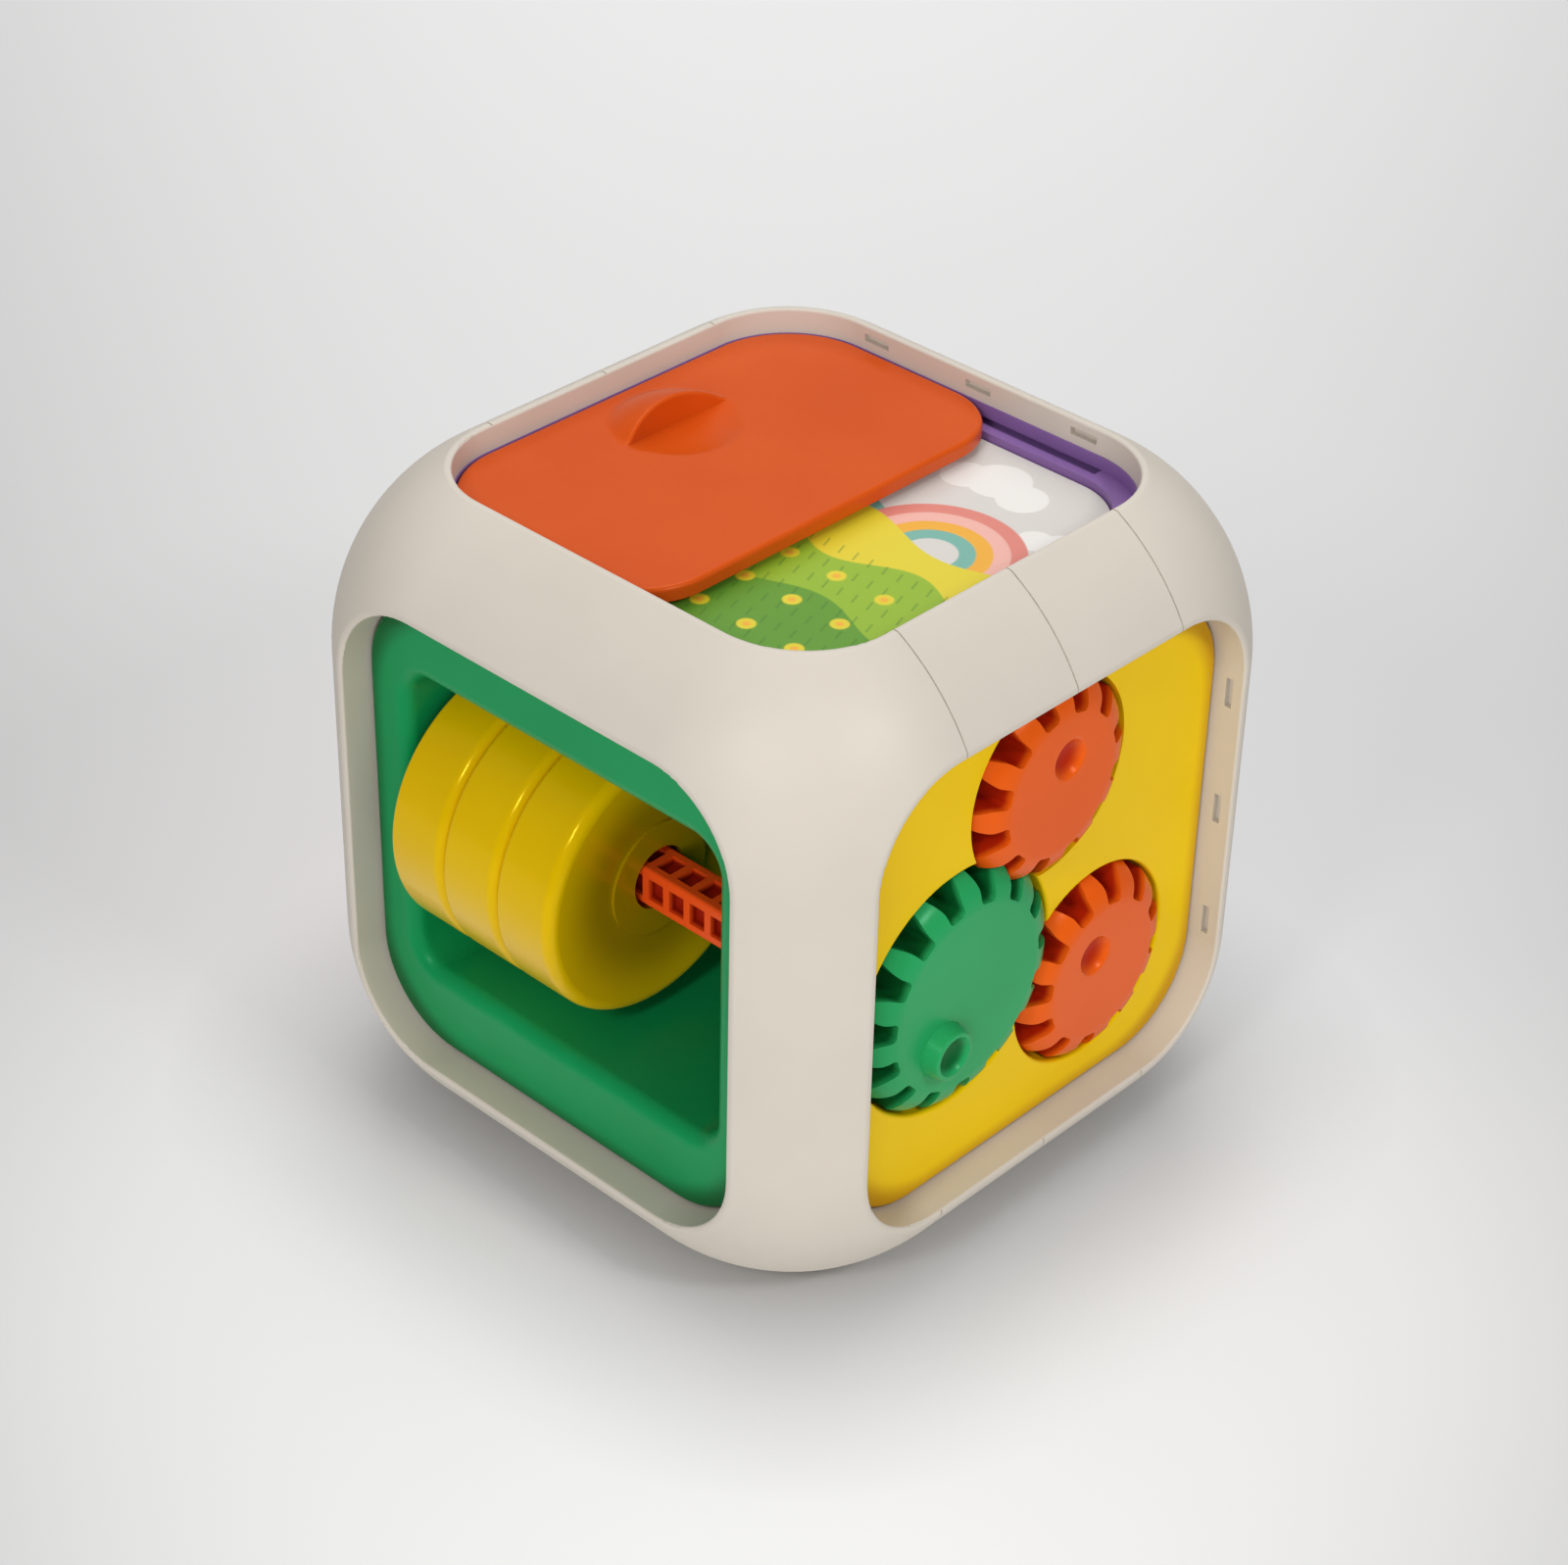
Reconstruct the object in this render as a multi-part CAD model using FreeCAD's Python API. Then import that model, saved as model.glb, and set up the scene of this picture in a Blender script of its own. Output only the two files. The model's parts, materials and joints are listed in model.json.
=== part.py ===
import FreeCAD, Part
import math
import os

V = FreeCAD.Vector

# Activity cube, in millimetres. It is modelled about its own centre and lifted at the end,
# so that the origin is the middle of the bottom rim. Front is -Y, right is +X, top is +Z.

# Cutting shapes run this far past the faces that they cut
past = 1.0

# Overall shape of the frame
cube_size = 130.0
opening_width = 95.4
rim_land = 1.2
edge_radius = 40.7
skin = 2.2
opening_wall = 2.2
rim_round = 0.5
land_round = 1.4
panel_depth = 6.3
tray_depth = 4.9

# Clip fingers behind the openings. The frame's tool pulls off along Y, so only the fingers on the
# walls across its way, at the front and back of the side openings, leave small windows there.
finger_width = 6.0
finger_thick = 1.4
finger_nose = 1.1
finger_gap = 0.2
finger_spread = 25.0
window_height = 1.5
window_deep = 1.3

# Witness lines of the tool across the four bars that run front to back
witness_place = 27.8
witness_width = 0.35
witness_deep = 0.3

# Screws that close the frame at its lower corners, and pegs that join it at the upper ones
frame_screw_radius = 1.5
frame_screw_length = 16.0
screw_head_radius = 2.6
screw_head_high = 2.0
screw_head_round = 0.7
cross_long = 3.2
cross_wide = 0.7
cross_deep = 1.2
screw_fit = 0.05
screw_slack = 0.25
closing_web = 8.0
closing_boss_front = 14.0
closing_boss_back = 12.0
closing_boss_radius = 4.0
closing_boss_cover = 0.28
peg_radius = 1.9
peg_length = 8.0
peg_root = 2.0

# Panels
flange_thick = 2.3
flange_lap = 3.1
panel_step = 1.5
panel_gap = 0.25
panel_round = 1.0
plain_field_radius = 34.0
plain_field_deep = 1.4
plain_ring_radius = 24.0
plain_ring_high = 1.1
plain_ring_wide = 3.0

# Disc tray, rod, bushes and discs
trough_width = 76.6
trough_height = 63.0
trough_floor = 49.0
trough_wall = 2.0
trough_corner = 6.0
trough_mouth_round = 3.0
trough_floor_round = 7.0
rod_deep = 20.7
rod_low = 1.2
rod_side = 8.0
rod_fit = 0.1
rod_corner = 0.7
pocket_length = 3.6
pocket_pitch = 5.1
pocket_height = 4.4
pocket_deep = 1.7
pocket_end = 4.5
rod_boss_radius = 8.4
rod_boss_high = 1.6
rod_washer_radius = 5.6
washer_thick = 1.2
rod_screw_length = 9.0
disc_radius = 26.9
disc_width = 13.5
disc_gap = 0.3
disc_face_round = 2.4
disc_back_round = 0.7
disc_wall = 2.2
disc_dish = 0.6
disc_hub_wall = 3.8
disc_eye_clear = 0.55
disc_ribs = 6
disc_rib_thick = 1.2
disc_rib_inset = 3.5
bush_slide = 0.25
bush_wall = 2.95
running_gap = 0.3
bush_inset = 0.4
bead_place = 1.6
bead_wide = 1.0
bead_high = 0.65

# Gears and their panel
gear_module = 2.95
drive_teeth = 15
idler_teeth = 12
pressure_angle = 20.0
tooth_tip = 0.65
tooth_root = 1.28
tooth_play = 0.35
drive_y = -20.0
drive_z = -6.4
upper_bearing = 56.7
lower_bearing = -20.6
drive_tooth_angle = 41.8
gear_proud = 3.2
dome_inset = 1.0
dome_drop = 4.4
valley_round = 0.9
well_deep = 7.7
well_gap = 0.45
well_wall = 1.8
well_edge_round = 0.7
gear_lift = 0.6
gear_core_deep = 5.0
gear_core_wall = 2.4
gear_shaft_radius = 3.0
gear_tube_wall = 2.4
gear_tube_length = 4.4
gear_washer_radius = 5.6
gear_screw_radius = 1.25
gear_screw_length = 7.0
gear_screw_spare = 1.0
knob_radius = 4.6
knob_flare = 0.8
knob_high = 3.0
knob_round = 0.4
knob_hollow = 3.8
knob_hollow_deep = 2.1
knob_reach = 10.2
knob_angle = 230.6
dimple_radius = 3.9
dimple_deep = 2.2
dimple_round = 0.7
dimple_reach = 5.0
upper_dimple_angle = 73.0
lower_dimple_angle = 119.0

# Card tray, card and sliding door
tray_thick = 5.2
ledge_down = 2.6
ledge_wide = 4.1
card_down = 4.1
card_thick = 0.8
card_fit = 0.3
tray_floor = 1.6
door_fit = 0.3
door_thick = 2.8
door_length = 56.6
door_free_corner = 14.0
door_edge_round = 0.9
channel_wide = 2.0
channel_deep = 1.3
tongue_wide = 1.6
tongue_thick = 1.0
tongue_fit = 0.2
groove_spare = 0.5
grip_radius = 12.5
grip_deep = 1.9
grip_from_end = 15.7
grip_side = 2.2
dome_high = 4.2
dome_foot_round = 3.5
crest_bow = 2.6
crest_round = 0.6

# Values that follow from the sizes above. The frame's rounded edges are arcs about edge_centre, and
# their radius and the flat land at each rim fix where that centre is.
half = cube_size / 2
opening_half = opening_width / 2
land_edge = opening_half + rim_land
edge_centre = (half + land_edge - math.sqrt(2 * edge_radius ** 2 - (half - land_edge) ** 2)) / 2
opening_corner = opening_half - edge_centre
closing_boss_place = edge_centre + (edge_radius - closing_boss_radius - closing_boss_cover) / math.sqrt(2)
flange_half = opening_half + flange_lap
middle_half = opening_half - panel_gap
trough_half = trough_width / 2
rod_y = -(half - panel_depth - rod_deep)
rod_z = -rod_low
rod_half = trough_half + trough_wall
disc_pitch = disc_width + disc_gap
disc_start = -(trough_half - rod_boss_high - disc_gap)
bush_hole = rod_side + 2 * bush_slide
bush_radius = bush_hole / 2 + bush_wall
bore_radius = bush_radius + running_gap
panel_face = half - panel_depth
gear_face = panel_face + gear_proud
well_floor = panel_face - well_deep
gear_back = well_floor + gear_lift
tube_end = well_floor - well_wall - gear_tube_length
gear_distance = gear_module * (drive_teeth + idler_teeth) / 2


def polar(y, z, reach, degrees):
    a = math.radians(degrees)
    return y + reach * math.cos(a), z + reach * math.sin(a)


drive_place = (drive_y, drive_z)
upper_place = polar(drive_y, drive_z, gear_distance, upper_bearing)
lower_place = polar(drive_y, drive_z, gear_distance, lower_bearing)

# The faces: each is modelled as the top face and then turned to its side
face_turns = {
    "top": (V(1, 0, 0), 0),
    "bottom": (V(1, 0, 0), 180),
    "front": (V(1, 0, 0), 90),
    "back": (V(1, 0, 0), -90),
    "right": (V(0, 1, 0), 90),
    "left": (V(0, 1, 0), -90),
}


side_faces = ("top", "bottom", "right", "left")


def face_depth(face):
    return tray_depth if face == "top" else panel_depth


def wall_depth(face):
    return tray_depth if face == "top" else panel_depth + panel_step


def to_face(shape, face):
    axis, angle = face_turns[face]
    turned = shape.copy()
    turned.rotate(V(0, 0, 0), axis, angle)
    return turned


def box(x0, x1, y0, y1, z0, z1):
    return Part.makeBox(x1 - x0, y1 - y0, z1 - z0, V(x0, y0, z0))


def rod_along_x(radius, x0, x1, y, z):
    return Part.makeCylinder(radius, x1 - x0, V(x0, y, z), V(1, 0, 0))


def rod_along_y(radius, y0, y1, x, z):
    return Part.makeCylinder(radius, y1 - y0, V(x, y0, z), V(0, 1, 0))


def joined(shapes):
    whole = shapes[0]
    if len(shapes) > 1:
        whole = whole.fuse(shapes[1:])
    return whole.removeSplitter()


def rounded_block(half_x, half_y, corner, z0, z1, middle=(0, 0)):
    cx, cy = middle
    block = box(cx - half_x, cx + half_x, cy - half_y, cy + half_y, z0, z1)
    edges = [e for e in block.Edges if abs(e.BoundBox.ZLength) > (z1 - z0) * 0.99]
    return block.makeFillet(corner, edges)


def rounded_cube(half_size, radius):
    cube = box(-half_size, half_size, -half_size, half_size, -half_size, half_size)
    return cube.makeFillet(radius, cube.Edges)


def edges_at(shape, level, reach_low, reach_high):
    found = []
    for e in shape.Edges:
        b = e.BoundBox
        flat = abs(b.ZMin - level) < 0.01 and abs(b.ZMax - level) < 0.01
        reach = max(abs(b.XMin), abs(b.XMax), abs(b.YMin), abs(b.YMax))
        if flat and reach_low < reach < reach_high:
            found.append(e)
    return found


# Frame

def frame_blank():
    outer = rounded_cube(edge_centre + edge_radius, edge_radius)
    blank = outer.common(box(-half, half, -half, half, -half, half))
    for face in face_turns:
        hole = rounded_block(opening_half, opening_half, opening_corner, 0, half + edge_radius)
        blank = blank.cut(to_face(hole, face))
    return blank


def soften_rims(blank):
    for face in face_turns:
        axis, angle = face_turns[face]
        blank.rotate(V(0, 0, 0), axis, -angle)
        blank = blank.makeFillet(rim_round, edges_at(blank, half, edge_centre, opening_half + rim_land / 2))
        blank = blank.makeFillet(land_round, edges_at(blank, half, opening_half + rim_land / 2, half))
        blank.rotate(V(0, 0, 0), axis, angle)
    return blank


def frame_cavity():
    cavity = rounded_cube(edge_centre + edge_radius - skin, edge_radius - skin)
    wall_half = opening_half + opening_wall
    for face in face_turns:
        keep = rounded_block(wall_half, wall_half, wall_half - edge_centre,
                             half - wall_depth(face), half + edge_radius)
        cavity = cavity.cut(to_face(keep, face))
    return cavity


def clip_fingers(face):
    thick = tray_thick if face == "top" else flange_thick
    back = half - wall_depth(face) - thick
    inner = flange_half + finger_gap
    outer = inner + finger_thick
    root = edge_centre + math.sqrt((edge_radius - skin) ** 2 - (outer - edge_centre) ** 2) + skin / 2
    fingers = []
    for turn in ((1, 3) if face in side_faces else range(4)):
        for place in (-finger_spread, 0, finger_spread):
            arm = box(inner, outer, place - finger_width / 2, place + finger_width / 2,
                      back - finger_gap - finger_nose, root)
            nose = box(inner - finger_nose, inner, place - finger_width / 2, place + finger_width / 2,
                       back - finger_gap - finger_nose, back - finger_gap)
            finger = arm.fuse(nose)
            finger.rotate(V(0, 0, 0), V(0, 0, 1), 90 * turn)
            fingers.append(to_face(finger, face))
    return fingers


def wall_windows(face):
    middle = half - face_depth(face) / 2
    windows = []
    for turn in (1, 3):
        for place in (-finger_spread, 0, finger_spread):
            window = box(opening_half - past, opening_half + window_deep,
                         place - finger_width / 2, place + finger_width / 2,
                         middle - window_height / 2, middle + window_height / 2)
            window.rotate(V(0, 0, 0), V(0, 0, 1), 90 * turn)
            windows.append(to_face(window, face))
    return windows


def witness_lines():
    h = half - witness_deep
    inner = rounded_cube(edge_centre + edge_radius - witness_deep, edge_radius - witness_deep)
    inner = inner.common(box(-h, h, -h, h, -h, h))
    near = opening_half - past
    far = half + past
    lines = []
    for sx in (-1, 1):
        for sz in (-1, 1):
            for sy in (-1, 0, 1):
                y = sy * witness_place
                slab = box(min(sx * near, sx * far), max(sx * near, sx * far),
                           y - witness_width / 2, y + witness_width / 2,
                           min(sz * near, sz * far), max(sz * near, sz * far))
                lines.append(slab.cut(inner))
    return lines


def closing_places(level):
    return [(sx * closing_boss_place, level * closing_boss_place) for sx in (-1, 1)]


def whole_frame():
    frame = soften_rims(frame_blank()).cut(frame_cavity())
    outer = rounded_cube(edge_centre + edge_radius, edge_radius)
    bosses = []
    for x, z in closing_places(-1) + closing_places(1):
        boss = rod_along_y(closing_boss_radius, -closing_boss_front, closing_boss_back, x, z)
        bosses.append(boss.common(outer))
    fingers = []
    for face in face_turns:
        fingers += clip_fingers(face)
    frame = frame.fuse(bosses + fingers)
    cuts = witness_lines()
    for face in side_faces:
        cuts += wall_windows(face)
    for x, z in closing_places(1):
        cuts.append(rod_along_y(peg_radius + screw_fit, 0, peg_length + screw_slack, x, z))
    for x, z in closing_places(-1):
        cuts.append(rod_along_y(screw_head_radius + screw_slack, closing_web, half + past, x, z))
        cuts.append(rod_along_y(frame_screw_radius + screw_slack, 0, closing_web, x, z))
        cuts.append(rod_along_y(frame_screw_radius + screw_fit, -closing_boss_front + skin, 0, x, z))
    return frame.cut(cuts)


def frame_halves():
    frame = whole_frame()
    reach = cube_size
    front = frame.common(box(-reach, reach, -reach, 0, -reach, reach))
    pegs = [rod_along_y(peg_radius, -peg_root, peg_length, x, z) for x, z in closing_places(1)]
    front = front.fuse(pegs)
    back = frame.common(box(-reach, reach, 0, reach, -reach, reach))
    return front, back


def screw(radius, length, head_radius, head_high):
    # the head stands on the origin, and the shank runs down from it along -Z
    head = Part.makeCylinder(head_radius, head_high, V(0, 0, 0))
    head = head.makeFillet(screw_head_round, edges_at_level(head, head_high))
    shank = Part.makeCylinder(radius, length, V(0, 0, -length))
    cross = box(-cross_long / 2, cross_long / 2, -cross_wide / 2, cross_wide / 2,
                head_high - cross_deep, head_high + past)
    other = cross.copy()
    other.rotate(V(0, 0, 0), V(0, 0, 1), 90)
    return head.fuse(shank).cut([cross, other])


def washer(outer, inner, thick):
    return Part.makeCylinder(outer, thick).cut(Part.makeCylinder(inner, thick))


def lay_along(shape, direction, place):
    # turns a shape whose outer end faces +Z so that this end faces the direction
    moved = shape.copy()
    rotation = FreeCAD.Rotation(V(0, 0, 1), direction)
    moved.Placement = FreeCAD.Placement(place, rotation)
    return moved


def frame_screws():
    shape = screw(frame_screw_radius, frame_screw_length, screw_head_radius, screw_head_high)
    placed = [lay_along(shape, V(0, 1, 0), V(x, closing_web, z)) for x, z in closing_places(-1)]
    return Part.makeCompound(placed)


# Panels

def flange(depth, thick):
    top = half - depth
    return rounded_block(flange_half, flange_half, flange_half - edge_centre, top - thick, top)


def middle_block(z0, z1):
    return rounded_block(middle_half, middle_half, middle_half - edge_centre, z0, z1)


def panel_plate():
    # the middle fills the opening with a small gap, and its brim lies behind the opening's wall
    top = half - panel_depth
    ledge = top - panel_step
    brim = rounded_block(flange_half, flange_half, flange_half - edge_centre, ledge - flange_thick, ledge)
    middle = middle_block(ledge - flange_thick, top)
    middle = middle.makeFillet(panel_round, edges_at_level(middle, top))
    inner = middle_half - flange_thick
    hollow = rounded_block(inner, inner, inner - edge_centre, ledge - flange_thick - past, top - flange_thick)
    return brim.fuse(middle).cut(hollow)


def plain_panel(face):
    top = half - panel_depth
    plate = panel_plate()
    field = Part.makeCylinder(plain_field_radius, plain_field_deep, V(0, 0, top - plain_field_deep))
    backing = Part.makeCylinder(plain_field_radius + flange_thick, flange_thick,
                                V(0, 0, top - plain_field_deep - flange_thick))
    field_level = top - plain_field_deep
    ring = Part.makeTorus(plain_ring_radius, plain_ring_wide,
                          V(0, 0, field_level + plain_ring_high - plain_ring_wide))
    ring = ring.common(Part.makeCylinder(plain_field_radius, plain_ring_high, V(0, 0, field_level)))
    panel = plate.fuse(backing).cut(field).fuse(ring)
    return to_face(panel.removeSplitter(), face)


# Disc tray with its rod, in the front face. Local Y is up and local Z points out of the face.

def disc_tray():
    top = half - panel_depth
    floor = top - trough_floor
    height_half = trough_height / 2
    plate = panel_plate()
    shell = rounded_block(trough_half + trough_wall, height_half + trough_wall,
                          trough_corner + trough_wall, floor - trough_wall, top)
    shell = shell.makeFillet(trough_floor_round, edges_at_level(shell, floor - trough_wall))
    inside = rounded_block(trough_half, height_half, trough_corner, floor, top + past)
    inside = inside.makeFillet(trough_floor_round - trough_wall, edges_at_level(inside, floor))
    tray = plate.fuse(shell).cut(inside)
    tray = tray.makeFillet(trough_mouth_round, edges_at(tray, top, 0, trough_half + past))
    axis_level = top - rod_deep
    for side in (-1, 1):
        start = min(side * trough_half, side * (trough_half - rod_boss_high))
        tray = tray.fuse(rod_along_x(rod_boss_radius, start, start + rod_boss_high, -rod_low, axis_level))
    hole = rod_side / 2 + rod_fit
    tray = tray.cut(box(-rod_half - past, rod_half + past, -rod_low - hole, -rod_low + hole,
                        axis_level - hole, axis_level + hole))
    return to_face(tray.removeSplitter(), "front")


def edges_at_level(shape, level):
    near = 0.01
    low = [e for e in shape.Edges if abs(e.BoundBox.ZMin - level) < near]
    return [e for e in low if abs(e.BoundBox.ZMax - level) < near]


def disc_rod():
    s = rod_side / 2
    bar = box(-rod_half, rod_half, -s, s, -s, s)
    bar = bar.makeFillet(rod_corner, [e for e in bar.Edges if e.BoundBox.XLength > rod_half])
    pockets = []
    count = int((2 * rod_half - 2 * pocket_end) / pocket_pitch)
    first = -(count - 1) / 2 * pocket_pitch
    for turn in range(4):
        for k in range(count):
            x = first + k * pocket_pitch
            pocket = box(x - pocket_length / 2, x + pocket_length / 2, -pocket_height / 2, pocket_height / 2,
                         s - pocket_deep, s + past)
            pocket.rotate(V(0, 0, 0), V(1, 0, 0), 90 * turn)
            pockets.append(pocket)
    pilot = frame_screw_radius + screw_fit
    holes = [rod_along_x(pilot, -rod_half, -rod_half + rod_screw_length - washer_thick, 0, 0),
             rod_along_x(pilot, rod_half - rod_screw_length + washer_thick, rod_half, 0, 0)]
    bar = bar.cut(pockets + holes)
    bar.translate(V(0, rod_y, rod_z))
    return bar


def rod_fixings():
    ring = washer(rod_washer_radius, frame_screw_radius + screw_fit, washer_thick)
    bolt = screw(frame_screw_radius, rod_screw_length, screw_head_radius, screw_head_high)
    rings = []
    bolts = []
    for side in (-1, 1):
        out = V(side, 0, 0)
        rings.append(lay_along(ring, out, V(side * rod_half, rod_y, rod_z)))
        bolts.append(lay_along(bolt, out, V(side * (rod_half + washer_thick), rod_y, rod_z)))
    return Part.makeCompound(bolts), Part.makeCompound(rings)


def disc(index):
    x0 = disc_start + index * disc_pitch
    x1 = x0 + disc_width
    hub = bore_radius + disc_hub_wall
    web = x1 - disc_wall
    body = rod_along_x(disc_radius, x0, x1, rod_y, rod_z)
    body = body.makeFillet(disc_face_round, [e for e in body.Edges if e.BoundBox.XMin > x1 - past / 2])
    body = body.makeFillet(disc_back_round, [e for e in body.Edges if e.BoundBox.XMax < x0 + past / 2])
    dish = Part.makeCone(hub, disc_radius - disc_face_round, disc_dish,
                         V(x1 - disc_dish, rod_y, rod_z), V(1, 0, 0))
    dish = dish.cut(rod_along_x(hub, x1 - disc_dish, x1, rod_y, rod_z))
    core = rod_along_x(disc_radius - disc_wall, x0, web - disc_dish, rod_y, rod_z)
    core = core.cut(rod_along_x(hub, x0, x1, rod_y, rod_z))
    body = body.cut([dish, core]).fuse(disc_ribs_of(x0 + disc_rib_inset, web - disc_dish, hub))
    bore = rod_along_x(bore_radius, x0, web, rod_y, rod_z)
    eye = rod_along_x(rod_side / math.sqrt(2) + disc_eye_clear, web, x1, rod_y, rod_z)
    groove = rod_along_x(bore_radius + bead_high, x0 + bead_place - running_gap,
                         x0 + bead_place + bead_wide + running_gap, rod_y, rod_z)
    return body.cut([bore, eye, groove])


def disc_ribs_of(x0, x1, hub):
    # a ring halfway out, and spokes from the hub to the rim
    ring_radius = (hub + disc_radius - disc_wall + disc_rib_thick) / 2
    ring = rod_along_x(ring_radius, x0, x1, rod_y, rod_z)
    ribs = [ring.cut(rod_along_x(ring_radius - disc_rib_thick, x0, x1, rod_y, rod_z))]
    for k in range(disc_ribs):
        rib = box(x0, x1, (hub + bore_radius) / 2, disc_radius - disc_wall / 2,
                  -disc_rib_thick / 2, disc_rib_thick / 2)
        rib.rotate(V(0, 0, 0), V(1, 0, 0), 360 / disc_ribs * k)
        rib.translate(V(0, rod_y, rod_z))
        ribs.append(rib)
    return ribs


def disc_bush(index):
    x0 = disc_start + index * disc_pitch
    end = x0 + disc_width - disc_wall - running_gap
    sleeve = rod_along_x(bush_radius, x0 + bush_inset, end, rod_y, rod_z)
    bead = rod_along_x(bush_radius + bead_high, x0 + bead_place, x0 + bead_place + bead_wide, rod_y, rod_z)
    h = bush_hole / 2
    hole = box(x0, end + past, rod_y - h, rod_y + h, rod_z - h, rod_z + h)
    return joined([sleeve, bead]).cut(hole)


# Gears: the outline stands in the YZ plane and is drawn out along X

def involute_point(base, radius):
    roll = math.sqrt((radius / base) ** 2 - 1)
    return radius, roll - math.atan(roll)


def tooth_flank(teeth, steps=5):
    pitch = gear_module * teeth / 2
    base = pitch * math.cos(math.radians(pressure_angle))
    tip = pitch + tooth_tip * gear_module
    start = max(base, pitch - tooth_root * gear_module)
    at_pitch = involute_point(base, pitch)[1]
    half_tooth = (math.pi * gear_module / 2 - tooth_play) / 2 / pitch
    flank = []
    for k in range(steps):
        r = start + (tip - start) * k / (steps - 1)
        flank.append((r, half_tooth + at_pitch - involute_point(base, r)[1]))
    return flank


def gear_outline(teeth, tooth_angle):
    pitch = gear_module * teeth / 2
    root = pitch - tooth_root * gear_module
    flank = tooth_flank(teeth)
    step = 2 * math.pi / teeth

    def at(radius, angle):
        return V(0, radius * math.cos(angle), radius * math.sin(angle))

    edges = []
    for k in range(teeth):
        a = math.radians(tooth_angle) + k * step
        right = [at(r, a - w) for r, w in flank]
        left = [at(r, a + w) for r, w in reversed(flank)]
        rise = Part.BSplineCurve()
        rise.interpolate(right)
        fall = Part.BSplineCurve()
        fall.interpolate(left)
        tip_radius = flank[-1][0]
        crown = Part.Arc(right[-1], at(tip_radius, a), left[0])
        edges += [rise.toShape(), crown.toShape(), fall.toShape()]
        edges += valley_edges(at, flank[0][0], root, a + flank[0][1], a + step - flank[0][1])
    return Part.Wire(Part.__sortEdges__(edges))


def valley_edges(at, start, root, first, last):
    # straight sides down to the root circle, with a rounded corner at each side
    turn = valley_round / root
    bow = 1 - math.sqrt(0.5)
    points = [at(start, first), at(root + valley_round, first), at(root, first + turn),
              at(root, last - turn), at(root + valley_round, last), at(start, last)]
    corner = Part.Arc(points[1], at(root + bow * valley_round, first + bow * turn), points[2])
    floor = Part.Arc(points[2], at(root, (first + last) / 2), points[3])
    other = Part.Arc(points[3], at(root + bow * valley_round, last - bow * turn), points[4])
    curves = [Part.LineSegment(points[0], points[1]), corner, floor, other,
              Part.LineSegment(points[4], points[5])]
    return [c.toShape() for c in curves]


def domed_shape(tip, root, y, z):
    # what is left of the outline once the face rolls over towards the tips
    start = root - dome_inset
    reach = tip - start
    radius = (reach ** 2 + dome_drop ** 2) / (2 * dome_drop)
    sweep = math.acos((radius - dome_drop) / radius)

    def on_dome(angle):
        return V(gear_face - radius + radius * math.cos(angle), start + radius * math.sin(angle), 0)

    corners = [on_dome(sweep), V(gear_face - dome_drop, tip + past, 0), V(gear_back, tip + past, 0),
               V(gear_back, 0, 0), V(gear_face, 0, 0), on_dome(0)]
    edges = [Part.Arc(on_dome(0), on_dome(sweep / 2), on_dome(sweep)).toShape()]
    for k in range(len(corners) - 1):
        edges.append(Part.LineSegment(corners[k], corners[k + 1]).toShape())
    solid = Part.Face(Part.Wire(Part.__sortEdges__(edges))).revolve(V(0, 0, 0), V(1, 0, 0), 360)
    solid.translate(V(0, y, z))
    return solid


def gear_blank(teeth, tooth_angle, place):
    pitch = gear_module * teeth / 2
    root = pitch - tooth_root * gear_module
    tip = pitch + tooth_tip * gear_module
    y, z = place
    solid = Part.Face(gear_outline(teeth, tooth_angle)).extrude(V(gear_face - gear_back, 0, 0))
    solid.translate(V(gear_back, y, z))
    solid = solid.common(domed_shape(tip, root, y, z))
    hub = gear_shaft_radius + gear_core_wall
    core = rod_along_x(root - gear_core_wall, gear_back, gear_back + gear_core_deep, y, z)
    core = core.cut(rod_along_x(hub, gear_back, gear_back + gear_core_deep, y, z))
    shaft = rod_along_x(gear_shaft_radius, tube_end - running_gap, gear_back, y, z)
    pilot = rod_along_x(gear_screw_radius + screw_fit, tube_end - running_gap,
                        tube_end - running_gap + gear_screw_length, y, z)
    return solid.cut(core).fuse(shaft).cut(pilot)


def drive_gear():
    gear = gear_blank(drive_teeth, drive_tooth_angle, drive_place)
    y, z = polar(drive_y, drive_z, knob_reach, knob_angle)
    knob = Part.makeCone(knob_radius + knob_flare, knob_radius, knob_high, V(gear_face, y, z), V(1, 0, 0))
    knob = knob.makeFillet(knob_round, [e for e in knob.Edges if e.BoundBox.XMin > gear_face + knob_high / 2])
    hollow = hollow_in_face(knob_hollow, knob_hollow_deep, gear_face + knob_high, y, z)
    return gear.fuse(knob).cut(hollow).removeSplitter()


def hollow_in_face(radius, deep, level, y, z):
    ball = (radius ** 2 + deep ** 2) / (2 * deep)
    return Part.makeSphere(ball, V(level - deep + ball, y, z))


def idler_tooth_angle(bearing):
    # the slot that faces the drive gear's tooth
    drive_pitch = 360 / drive_teeth
    part = ((bearing - drive_tooth_angle) / drive_pitch) % 1
    idler_pitch = 360 / idler_teeth
    return bearing + 180 + (part + 0.5) * idler_pitch


def idler_gear(bearing, place, dimple_angle):
    gear = gear_blank(idler_teeth, idler_tooth_angle(bearing), place)
    y, z = polar(place[0], place[1], dimple_reach, dimple_angle)
    gear = gear.cut(hollow_in_face(dimple_radius, dimple_deep, gear_face, y, z))
    on_face = [e for e in gear.Edges if e.BoundBox.XMin > gear_face - past / 2]
    brim = [e for e in on_face if abs(e.BoundBox.YLength - 2 * dimple_radius) < past / 2]
    return gear.makeFillet(dimple_round, brim)


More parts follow.
